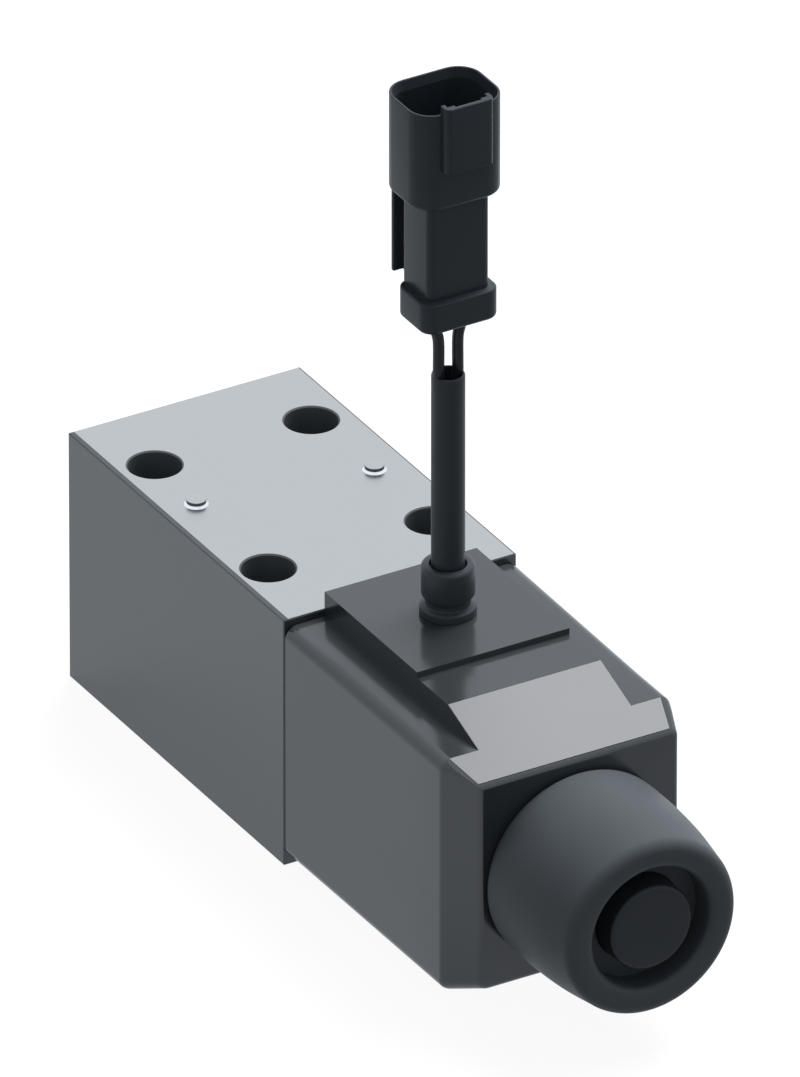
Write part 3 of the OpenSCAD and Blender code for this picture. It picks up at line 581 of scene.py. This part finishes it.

# Pale field: painted reflection
# The slope at the front of the coil carries a pale sheet, a hair proud of the black moulding,
# painted to stand in for the overhead light's reflection in the glossy slope: as wide as the band
# above and as wide as the coil below. It is left bare of print.
# Pale grey of the sheet: a painted reflection of the overhead light
FIELD_REFLECTION_GREY = "b1b2b4"
FIELD_RISE = 0.12
FIELD_X = (79.45, 89.8, 96.2)
FIELD_HALF = (15.0, 20.75, 18.8)


def make_field():
    """Rows run down the slope and columns go round a thin section: top, edge and underside.
    The half width steps out where the coil's shoulders begin, and then narrows."""
    x = np.array([FIELD_X[0], FIELD_X[1] - 0.001, FIELD_X[1], FIELD_X[2]])
    half = np.array([FIELD_HALF[0], *FIELD_HALF])
    edge = FIELD_RISE / 2
    sunk = -0.05
    y = np.stack([half - edge, half, half, -half, -half, edge - half], axis=1)
    above = np.array([FIELD_RISE, FIELD_RISE - edge, sunk, sunk, FIELD_RISE - edge, FIELD_RISE])
    return make_piece("coil_reflection_sheet", [capped(np.stack([
        x[:, None] + above * math.sin(SLOPE) + 0 * y, y,
        slope_z(x)[:, None] + above * math.cos(SLOPE)], axis=-1))])


# The sheet on the slope is painted as a reflection of the overhead light.
finish(make_field(),
       moulded("painted_reflection_pale", FIELD_REFLECTION_GREY, rough=0.4, grain=0.4, depth=0.002),
       "valve", "coil_plastic")

# Boot
# A soft cap of moulded rubber stretched over the coil nut. It swells a little behind its middle,
# narrows to a rolled lip and opens on the override button.
BOOT_RUBBER = "5d6266"
BOOT_WALL = ((97.1, 17.0), (97.7, 17.75), (98.9, 18.12), (103.5, 18.2), (108.5, 18.1),
             (113.5, 17.75), (117.3, 17.25), (120.2, 16.8))
BOOT_FRONT_X = 123.2
BOOT_LIP_ROUND = 2.3
BOOT_MOUTH_R = 11.45
BOOT_MOUTH_ROUND = 1.6
BOOT_INSIDE = ((117.6, 11.45), (117.5, 11.35), (117.5, 8.2), (115.5, 8.2), (115.5, 9.8),
               (109.8, 9.8), (109.8, 15.9), (97.1, 15.9))


def curve(points, per_span):
    """Points on a smooth curve through the given ones: on each span a cubic whose slope at an
    end is half the step between that end's two neighbours."""
    p = np.array(points, float)
    p = np.concatenate([2 * p[:1] - p[1:2], p, 2 * p[-1:] - p[-2:-1]])
    t = np.linspace(0, 1, per_span, endpoint=False)[None, :, None]
    a, b, c, d = (p[i:len(p) - 3 + i, None] for i in range(4))
    spans = b + t * (c - a) / 2 + t * t * (a - 2.5 * b + 2 * c - d / 2) \
        + t ** 3 * (1.5 * (b - c) + (d - a) / 2)
    return np.concatenate([spans.reshape(-1, p.shape[1]), p[-2:-1]])


def arc(x, r, radius, start, end, steps=10):
    """Points of a circle's arc round (x, r), between two angles in degrees from +X."""
    t = np.radians(np.linspace(start, end, steps))
    return np.stack([x + radius * np.cos(t), r + radius * np.sin(t)], axis=1)


def boot_profile():
    """Section of the boot: curved wall, outer round, lip, mouth, ledge and nut pocket; it ends
    where it began, so the revolved skin is closed."""
    lip, mouth = BOOT_LIP_ROUND, BOOT_MOUTH_ROUND
    outer = arc(BOOT_FRONT_X - lip, BOOT_WALL[-1][1] - lip - 0.1, lip, 78, 0)
    inner = arc(BOOT_FRONT_X - mouth, BOOT_MOUTH_R + mouth, mouth, 360, 270)
    outline = np.concatenate([curve(BOOT_WALL, 6), outer, inner, np.array(BOOT_INSIDE)])
    return np.concatenate([outline, outline[:1]])


finish(make_piece("rubber_boot", [revolved(boot_profile())]),
       moulded("rubber_moulded_matt", BOOT_RUBBER, rough=0.5, grain=0.35, depth=0.006, level=0.2),
       "valve", "boot_rubber", "nut_boot")

# Rivets
# Two drive rivets of bright zinc-plated steel in the top of the body: a pin whose foot flares to
# a cone where it was driven home. Their colour is painted in bands by height: a near-white
# painted highlight on the foot, painted shade round the side of the head, and the milled iron's
# colour on the top.
RIVET_PLACES = ((-5.0, -16.0), (0.0, 16.4))
RIVET_R = 1.72
RIVET_FOOT = (2.15, 0.38)
RIVET_H = 1.0
RIVET_EDGE = 0.1
RIVET_SHANK = (1.0, 1.15)
RIVET_TOP_SHARE = 0.96
# Foot: bright zinc raised to near white as a painted highlight; side of the head: painted shade
RIVET_ZINC_AND_GLINT = "f4f6f8"
RIVET_PAINTED_SHADE = "54585c"


def rivet_profile():
    """Section from inside the body over the cone and the soft upper edge to the top's centre."""
    z = BODY_TOP_Z / MM
    foot_r, foot_h = RIVET_FOOT
    depth, shank_r = RIVET_SHANK
    return np.concatenate([
        [(z - depth, 0), (z - depth, shank_r), (z - 0.02, shank_r + 0.03), (z - 0.02, foot_r),
         (z + 0.02, foot_r), (z + foot_h - 0.03, RIVET_R + 0.02), (z + foot_h, RIVET_R)],
        arc(z + RIVET_H - RIVET_EDGE, RIVET_R - RIVET_EDGE, RIVET_EDGE, 90, 0, 5),
        [(z + RIVET_H, 0)]])


def rivet_metal():
    """Satin metal in three bands by height: foot raised to near white as a painted highlight, side
    darkened as painted shade, top like the milled iron.
    """
    material, tree = new_material("zinc_plated_steel_headed")
    place = add(tree, "ShaderNodeTexCoord").outputs["Object"]
    height = add(tree, "ShaderNodeMapRange", {
        "Value": add(tree, "ShaderNodeSeparateXYZ", {0: place}).outputs["Z"],
        "From Min": BODY_TOP_Z, "From Max": BODY_TOP_Z + RIVET_H * MM})
    ramp = add(tree, "ShaderNodeValToRGB", {0: height.outputs[0]})
    bands = ramp.color_ramp
    bands.interpolation = "CONSTANT"
    # Foot: bright zinc with a painted highlight
    bands.elements[0].color = linear(RIVET_ZINC_AND_GLINT)
    bands.elements[1].position = RIVET_TOP_SHARE
    bands.elements[1].color = linear(IRON_MILLED)
    # Side of the head: a band of painted shade
    bands.elements.new((RIVET_FOOT[1] - 0.02) / RIVET_H).color = linear(RIVET_PAINTED_SHADE)
    shader = add(tree, "ShaderNodeBsdfPrincipled", {
        "Base Color": ramp.outputs["Color"], "Metallic": 1.0, "Roughness": 0.24})
    add(tree, "ShaderNodeOutputMaterial", {"Surface": shader.outputs[0]})
    return material


finish(make_piece("drive_rivets", [
    revolved(rivet_profile(), "Z", place) for place in RIVET_PLACES]),
    rivet_metal(), "valve", "steel_bright", "plate_rivets")

# Override button
# A button of turned acetal behind the boot's mouth, pushed with a finger or a pin to shift the
# spool by hand. A wide rim at its back keeps it in.
BUTTON_BLACK = "363a3e"
BUTTON_R = 8.0
BUTTON_FACE_X = 122.7
BUTTON_BACK_X = 113.0
BUTTON_RIM = (115.2, 9.4)
BUTTON_EDGE = 0.9


def button_profile():
    """Section from the back's centre round the rim and the edge of the face to its centre."""
    edge = BUTTON_EDGE
    return np.concatenate([
        [(BUTTON_BACK_X, 0), (BUTTON_BACK_X, BUTTON_RIM[1] - 0.3),
         (BUTTON_BACK_X + 0.3, BUTTON_RIM[1]), (BUTTON_RIM[0] - 0.2, BUTTON_RIM[1]),
         (BUTTON_RIM[0], BUTTON_RIM[1] - 0.2), (BUTTON_RIM[0], BUTTON_R)],
        arc(BUTTON_FACE_X - edge, BUTTON_R - edge, edge, 90, 0),
        [(BUTTON_FACE_X - 0.02, BUTTON_R * 0.5), (BUTTON_FACE_X - 0.03, 0)],
    ])


finish(make_piece("push_button", [revolved(button_profile())]),
       moulded("acetal_turned_black", BUTTON_BLACK, rough=0.4, grain=0.3, depth=0.003,
               level=0.25, ior=1.48),
       "override", "button_plastic", "override_button")

# Gland
# A nylon gland moulded on the lead and snapped into the pad: a foot, a waist that lets it flex
# and a heavier ring that grips the jacket.
LEAD_X = 53.55
GLAND_NYLON = "43484d"
GLAND_TOP_Z = 61.5
GLAND_FOOT_R = 4.95
GLAND_WAIST_R = 3.95
GLAND_RING_R = 4.65
GLAND_BORE_R = 3.2
GLAND_ROUND = 0.7
JACKET_R = 2.925
JACKET_SEAT_Z = 57.0


def gland_profile():
    """Section from the pad up over foot, waist and ring, and down the bore to its floor."""
    z = PAD_TOP_Z
    top = GLAND_TOP_Z
    foot, waist, ring, bore = GLAND_FOOT_R, GLAND_WAIST_R, GLAND_RING_R, GLAND_BORE_R
    seat = JACKET_R + 0.055
    return np.concatenate([
        [(z - 2.9, 0), (z - 2.9, 3.35), (z + 0.01, 3.35), (z + 0.01, foot - 0.1), (z + 0.1, foot)],
        arc(z + 1.25, foot - 0.25, 0.25, 90, 20, 4),
        [(z + 1.8, waist + 0.13), (z + 1.92, waist + 0.02), (z + 2.65, waist),
         (z + 2.75, waist + 0.03), (z + 3.6, ring - 0.13), (z + 3.75, ring - 0.03),
         (z + 3.9, ring)],
        arc(top - GLAND_ROUND, ring - GLAND_ROUND, GLAND_ROUND, 90, 0, 8),
        [(top, bore + 0.2), (top - 0.04, bore + 0.11), (top - 0.12, bore + 0.05),
         (top - 1.2, bore), (top - 1.2, seat), (JACKET_SEAT_Z, seat), (JACKET_SEAT_Z, 0)],
    ])


finish(make_piece("lead_gland", [revolved(gland_profile(), "Z", (LEAD_X, 0))]),
       moulded("nylon_moulded_black", GLAND_NYLON, rough=0.4, grain=0.3, depth=0.004, level=0.3),
       "valve", "cable_jacket", "cable_gland")

# Receptacle
# A two-pole housing moulded in glass-filled polyester: flange, neck with a clip rail behind,
# and an open socket whose front carries the cover of the mating plug's latch.
SOCKET_BLACK = "484e54"
WEDGE_BLACK = "2b2f33"
SEAL_GREY = "4b4e51"
TIN = "c2bba8"
FLANGE_Z = 110.1
NECK_Z = 115.9
SHELL_Z = 134.3
RIM_Z = 153.0
SOCKET_FLOOR_Z = 137.3
NECK_X = LEAD_X - 0.8
SHELL_X = LEAD_X - 1.3
FLANGE_SIZE = (10.8, 14.8, 2.5)
NECK_SIZE = (9.6, 12.0, 1.3)
RAIL_WEB_SIZE = (2.9, 8.4, 0.3)
RAIL_HEAD_SIZE = (0.9, 12.0, 0.3)
SHELL_SIZE = (14.2, 17.4, 4.5)
SHELL_WALL = 0.9
RIM_WALL = 0.45
COVER_Z = (142.0, 154.7)
COVER_FACE_X = 61.3
COVER_HALF = 4.7
COVER_WALL = 0.8
COVER_ROUND = 1.2
RIB_SIZE = (0.7, 1.5, 0.15)
RIB_Y = 3.25


def rounded_loop(a, b, r, steps=9):
    """Closed loop round a rectangle a by b: a quarter circle of radius r at each corner."""
    t = np.linspace(0, np.pi / 2, steps) + np.arange(4)[:, None] * np.pi / 2
    side_a = (a / 2 - r) * np.array([1, -1, -1, 1])[:, None]
    side_b = (b / 2 - r) * np.array([1, 1, -1, -1])[:, None]
    return np.stack([side_a + r * np.cos(t), side_b + r * np.sin(t)], axis=-1).reshape(-1, 2)


def lofted(size, stations, centre):
    """Rounded rectangle carried upwards: each station gives its height and how far the rectangle
    is drawn in there; both ends close at the centre."""
    a, b, r = size
    rings = []
    for height, inset in stations:
        loop = rounded_loop(a - 2 * inset, b - 2 * inset, max(r - inset, 0.03))
        rings.append(np.column_stack([loop, np.full(len(loop), height)]))
    rings = [rings[0] * (0, 0, 1), *rings, rings[-1] * (0, 0, 1)]
    return np.array(rings) + np.array(centre)


def ends(low, high, low_edge, high_edge):
    """Stations of a block from low to high whose end edges are rounded."""
    t = np.radians(np.linspace(0, 90, 9))
    first = np.stack([low + low_edge * (1 - np.cos(t)), low_edge * (1 - np.sin(t))], axis=1)
    last = np.stack([high - high_edge * (1 - np.cos(t)), high_edge * (1 - np.sin(t))], axis=1)
    return np.concatenate([first, last[::-1]])


def latch_cover():
    """Wall section, a tall rectangle with soft edges, carried round a U: out along one cheek,
    round the corner, across the front, and back along the other cheek."""
    turn = np.radians(np.linspace(0, 90, 8))
    angle = np.concatenate([[-np.pi / 2], turn - np.pi / 2, turn, [np.pi / 2]])
    back = SHELL_X + SHELL_SIZE[0] / 2 - 0.3
    centre_x = np.full(angle.size, COVER_FACE_X - COVER_ROUND)
    centre_x[[0, -1]] = back
    centre_y = np.where(np.arange(angle.size) < angle.size / 2, -1, 1) * (COVER_HALF - COVER_ROUND)
    low, high = COVER_Z
    outer = arc(COVER_ROUND - 0.2, high - 0.2, 0.2, 0, 90, 5)
    inner = arc(COVER_ROUND - COVER_WALL + 0.1, high - 0.1, 0.1, 90, 180, 4)
    foot = [(COVER_ROUND - COVER_WALL, low), (COVER_ROUND - 0.1, low), (COVER_ROUND, low + 0.1)]
    out, z = np.concatenate([outer, inner, foot]).T
    return capped(np.stack([
        centre_x[:, None] + out * np.cos(angle)[:, None],
        centre_y[:, None] + out * np.sin(angle)[:, None],
        z + 0 * angle[:, None]], axis=-1))


def make_receptacle():
    """Flange, neck, hollow shell whose wall thins to its rim, latch cover with two ribs, and
    clip rail, each a closed skin."""
    t = np.radians(np.linspace(0, 90, 5))
    edge = 0.18
    shell = np.concatenate([
        ends(SHELL_Z, RIM_Z, 0.9, edge),
        np.stack([RIM_Z - edge * (1 - np.cos(t)), RIM_WALL - edge * (1 - np.sin(t))], axis=1),
        [(RIM_Z - 1.8, SHELL_WALL), (SOCKET_FLOOR_Z + 0.4, SHELL_WALL),
         (SOCKET_FLOOR_Z, SHELL_WALL + 0.4)]])
    flange = np.concatenate([
        [(FLANGE_Z + 3.0, 2.2), (FLANGE_Z, 2.2)], ends(FLANGE_Z, NECK_Z, 0.8, 0.35)])
    grids = [
        lofted(FLANGE_SIZE, flange, (LEAD_X, 0, 0)),
        lofted(NECK_SIZE, ends(NECK_Z - 1, SHELL_Z + 1, 0, 0), (NECK_X, 0, 0)),
        lofted(SHELL_SIZE, shell, (SHELL_X, 0, 0)),
        latch_cover(),
    ]
    rib_x = COVER_FACE_X - COVER_WALL - 0.25
    rib = ends(COVER_Z[0] + 0.3, COVER_Z[1] - 0.02, 0.1, 0.15)
    grids += [lofted(RIB_SIZE, rib, (rib_x, y, 0)) for y in (-RIB_Y, RIB_Y)]
    back = NECK_X - NECK_SIZE[0] / 2
    rail = ends(NECK_Z + 0.3, SHELL_Z + 0.3, 0.2, 0)
    grids.append(lofted(RAIL_WEB_SIZE, rail, (back - 1.25, 0, 0)))
    grids.append(lofted(RAIL_HEAD_SIZE, rail, (back - 3.05, 0, 0)))
    return make_piece("receptacle", grids)


finish(make_receptacle(),
       moulded("glass_filled_polyester_black", SOCKET_BLACK, rough=0.3, grain=0.4, depth=0.004,
               level=0.14),
       "valve", "connector_plastic", "connector_shell")

give(moulded("glass_filled_polyester_wedge", WEDGE_BLACK, rough=0.35, grain=0.4, depth=0.004),
     "connector_wedge")
give(moulded("silicone_rubber_grey", SEAL_GREY, rough=0.5, grain=0.3, depth=0.004, ior=1.43),
     "connector_seal")
give(turned_metal("tin_plated_brass", TIN, 0.18, 0.28, "Z"), "contact_pins")

# Lead
# A short stiff lead: a tough jacket round two insulated cores, which leave it below the
# receptacle and spread to its two poles.
JACKET_BLACK = "40464b"
CORE_BLACK = "2a2e32"
CORE_R = 1.0
JACKET_ROUTE = [(LEAD_X, 0, z) for z in (JACKET_SEAT_Z, 70, 84, 98.7)]
CORE_ROUTE = [(LEAD_X, y, z) for y, z in ((1.9, 98.7), (1.9, 105.2), (2.4, 107.8), (2.4, 110.4))]
CORE_START = [(LEAD_X, 1.55, 96.2), (LEAD_X, 1.75, 97.6)]
LEAD_STEPS = 48


def tube(route, stations):
    """Tube along a smooth curve. Each station gives how far along the curve a ring lies, from 0
    to 1, and its radius; rings stand square to the curve, which never runs along X."""
    share, radius = np.array(stations, float).T
    step = np.linspace(0, 1, len(route))
    middle = np.stack([np.interp(share, step, route[:, i]) for i in range(3)], axis=1)
    slope = np.gradient(route, axis=0)
    heading = np.stack([np.interp(share, step, slope[:, i]) for i in range(3)], axis=1)
    heading /= np.linalg.norm(heading, axis=1)[:, None]
    side = np.cross(heading, (1.0, 0, 0))
    side /= np.linalg.norm(side, axis=1)[:, None]
    other = np.cross(heading, side)
    t = np.linspace(0, 2 * np.pi, LEAD_STEPS, endpoint=False)[None, :, None]
    ring = np.cos(t) * side[:, None] + np.sin(t) * other[:, None]
    return middle[:, None] + radius[:, None, None] * ring


def jacket_stations():
    """From the seat up the outer wall, over the cut end's soft edge and down inside it, where
    the cores come out of the dark."""
    up = [(0, 0), (0, JACKET_R - 0.2), (0.004, JACKET_R)]
    up += [(s, JACKET_R) for s in np.linspace(0.05, 0.99, 20)]
    return up + [(0.996, JACKET_R - 0.05), (1.0, JACKET_R - 0.2), (1.0, JACKET_R - 0.4),
                 (0.996, JACKET_R - 0.5), (0.93, JACKET_R - 0.5), (0.93, 0)]


jacket_route = curve(JACKET_ROUTE, 12)
jacket = make_piece("jacket", [tube(jacket_route, jacket_stations())])
finish(jacket, moulded("polyurethane_extruded_matt", JACKET_BLACK, rough=0.42, grain=0.5,
                       depth=0.004, level=0.2),
       "valve", "cable_jacket", "lead_jacket")


def core_grids():
    """Both cores, the second one mirrored; each starts inside the jacket's end."""
    route = np.concatenate([CORE_START, curve(CORE_ROUTE, 12)])
    body = [(0, 0), (0, CORE_R)] + [(s, CORE_R) for s in np.linspace(0.02, 1, 40)] + [(1, 0)]
    one = tube(route, body)
    return [one, one * (1, -1, 1)]


cores = make_piece("cores", core_grids())
finish(cores, moulded("insulation_extruded", CORE_BLACK, rough=0.35, grain=0.5, depth=0.002,
                      level=0.25),
       "valve", "cable_jacket", "lead_cores")

# Return spring
# Hard-drawn wire wound between the plug's floor and the spring seat. It shortens as the button
# or the armature pushes the spool towards the plug.
SPRING_X = (-32.349, -26.101)
SPRING_R = 5.45
SPRING_WIRE_R = 0.55
SPRING_TURNS = 3.25
SPRING_POINTS = 105


def spring_wire():
    """Tube whose middle runs on a helix: even steps along X and round the valve's axis."""
    share = np.linspace(0, 1, SPRING_POINTS)
    angle = 2 * np.pi * SPRING_TURNS * share
    route = np.stack([
        SPRING_X[0] + share * (SPRING_X[1] - SPRING_X[0]),
        SPRING_R * np.cos(angle), AXIS_Z + SPRING_R * np.sin(angle)], axis=1)
    return tube(route, [(0, 0), *((s, SPRING_WIRE_R) for s in share), (1, 0)])


spring = make_piece("spring_wire", [spring_wire()])
finish(spring, turned_metal("spring_steel_drawn", GROUND_STEEL, 0.2, 0.28, "X"),
       None, "steel_bright", "return_spring")
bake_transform(spring)
